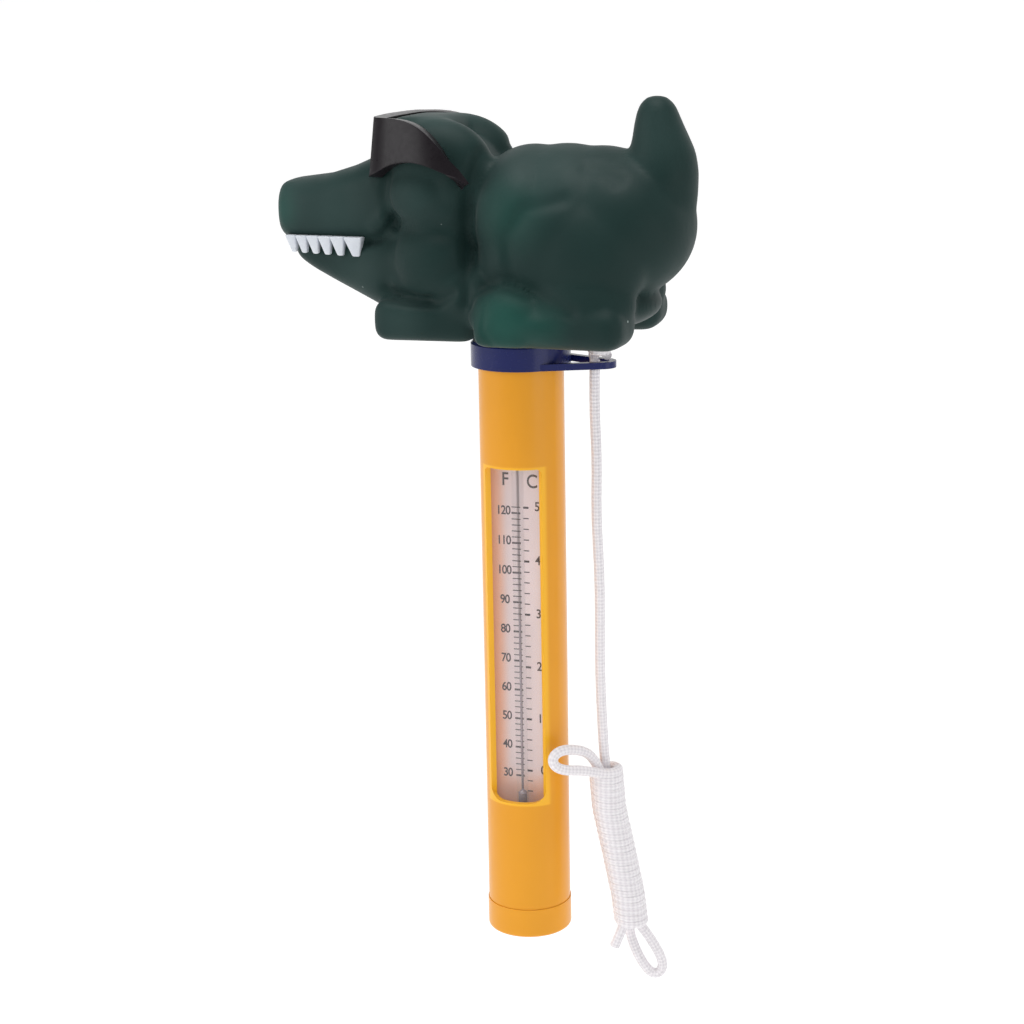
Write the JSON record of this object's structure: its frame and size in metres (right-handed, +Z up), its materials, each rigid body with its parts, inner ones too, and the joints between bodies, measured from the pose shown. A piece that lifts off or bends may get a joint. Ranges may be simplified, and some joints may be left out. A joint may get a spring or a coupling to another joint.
{
  "type": "floating pool thermometer",
  "caption": "Tube thermometer with a scale window that hangs under a hollow crocodile float, with a swivel collar and a tether cord folded into a hank.",
  "frame": {"origin": "on the stem's axis at the waterline, the height at which the thermometer floats", "axes": "+Z up along the stem, +X towards the crocodile's tail, -Y the side that the scale window faces"},
  "size_m": [0.112, 0.0524, 0.2341],
  "materials": {
    "stem_yellow": "moulded ABS, glossy",
    "collar_blue": "moulded ABS, glossy",
    "float_vinyl": "soft matte vinyl with airbrushed lighter patches",
    "glasses_black": "gloss black",
    "teeth_white": "white, semi-gloss",
    "clear_plastic": "clear, smooth",
    "clear_glass": "clear, polished",
    "scale_card": "printed white card",
    "spirit": "dark dyed liquid",
    "seal_rubber": "black nitrile",
    "cushion_foam": "white foam",
    "ballast_steel": "plain steel slug",
    "cord_nylon": "braided white nylon"
  },
  "bodies": {
    "stem": {"stem_tube": "stem_yellow", "top_plug": "stem_yellow", "top_plug_seal": "seal_rubber", "window_liner": "clear_plastic", "scale_card": "scale_card", "glass_tube": "clear_glass", "spirit_bulb": "spirit", "spirit_column": "spirit", "top_cushion": "cushion_foam", "glass_seat": "seal_rubber", "ballast_weight": "ballast_steel"},
    "float": {"float_body": "float_vinyl", "sunglasses": "glasses_black", "upper_teeth": "teeth_white"},
    "collar": {"collar_ring": "collar_blue", "cord_knot": "cord_nylon", "cord_drop": "cord_nylon", "cord_top_bight": "cord_nylon", "cord_bottom_bight": "cord_nylon", "cord_free_end": "cord_nylon", "cord_hank": "cord_nylon"},
    "foot": {"bottom_cap": "stem_yellow", "bottom_cap_seal": "seal_rubber"},
    "level": {"spirit_meniscus": "spirit"}
  },
  "joints": [
    {"name": "float_turn", "type": "hinge", "parent": "stem", "child": "float", "pos_m": [0, 0, 0], "axis": [0, 0, 1], "continuous": true},
    {"name": "collar_swivel", "type": "hinge", "parent": "stem", "child": "collar", "pos_m": [0, 0, -0.0113], "axis": [0, 0, 1], "continuous": true},
    {"name": "cap_pull", "type": "slide", "parent": "stem", "child": "foot", "axis": [0, 0, -1], "range_m": [0, 0.012]},
    {"name": "spirit_rise", "type": "slide", "parent": "stem", "child": "level", "axis": [0, 0, 1], "range_m": [-0.043, 0.028], "deforming": ["spirit_column"]}
  ]
}
